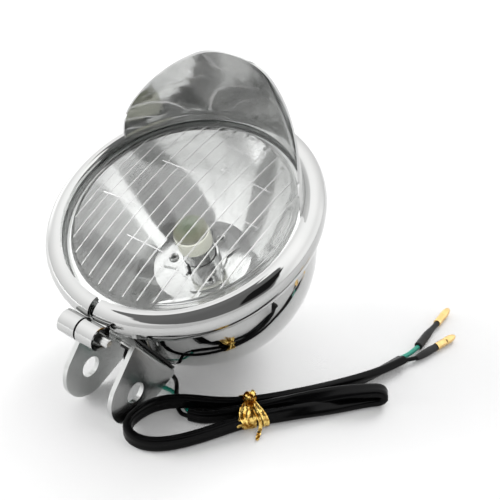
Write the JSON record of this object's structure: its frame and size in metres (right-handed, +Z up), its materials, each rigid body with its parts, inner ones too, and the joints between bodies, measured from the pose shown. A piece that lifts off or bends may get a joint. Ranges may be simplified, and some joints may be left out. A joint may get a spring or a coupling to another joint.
{
  "type": "motorcycle auxiliary driving light",
  "caption": "Chrome bowl-shaped driving light with a fluted glass lens, split clamp ring, peaked visor, U bracket with bolt holes and a tied lead ending in bullet terminals.",
  "frame": {"origin": "centre of the lamp's box at the surface it rests on, the free lead left out", "axes": "+Z up from the surface, +X across the lamp along the bracket's bolt hole, -Y towards the clamp and bracket side that the lens leans to"},
  "size_m": [0.1602, 0.1684, 0.1365],
  "materials": {
    "chrome": "polished",
    "bracket_steel": "satin",
    "zinc": "satin",
    "lens_glass": "clear, fluted inside",
    "bulb_glass": "clear",
    "reflector_metal": "bright",
    "rubber": "matt",
    "cream_plastic": "matt",
    "fibre": "matt",
    "tungsten": "bright",
    "black_pvc": "soft sheen",
    "green_pvc": "gloss",
    "brass": "bright",
    "gold_foil": "metallic foil"
  },
  "bodies": {
    "root": {"bucket": "chrome", "trim_ring": "chrome", "clamp_barrel_left": "chrome", "clamp_barrel_right": "chrome", "visor": "chrome", "clamp_screw": "zinc", "clamp_nut": "zinc", "lens": "lens_glass", "lens_gasket": "rubber", "reflector": "reflector_metal", "bulb_socket": "zinc", "socket_eyelets": "zinc", "bulb_cap": "zinc", "bulb_collar": "cream_plastic", "bulb_glass": "bulb_glass", "bulb_stem": "bulb_glass", "filament": "tungsten", "socket_insulator": "fibre", "contact_plunger": "brass", "contact_spring": "zinc", "earth_tab": "brass", "mount_gasket": "rubber", "bracket_base": "bracket_steel", "bracket_ear_left": "bracket_steel", "bracket_ear_right": "bracket_steel", "backing_washer": "zinc", "hollow_rivet": "zinc", "bolt_bush": "rubber", "inner_lead_green": "green_pvc", "inner_lead_black": "black_pvc", "lead_green": "green_pvc", "lead_black": "black_pvc", "cable_jacket": "black_pvc", "tail_green": "green_pvc", "tail_black": "black_pvc", "sleeve_green": "black_pvc", "sleeve_black": "black_pvc", "bullet_green": "brass", "bullet_black": "brass", "twist_tie": "gold_foil"}
  },
  "joints": []
}
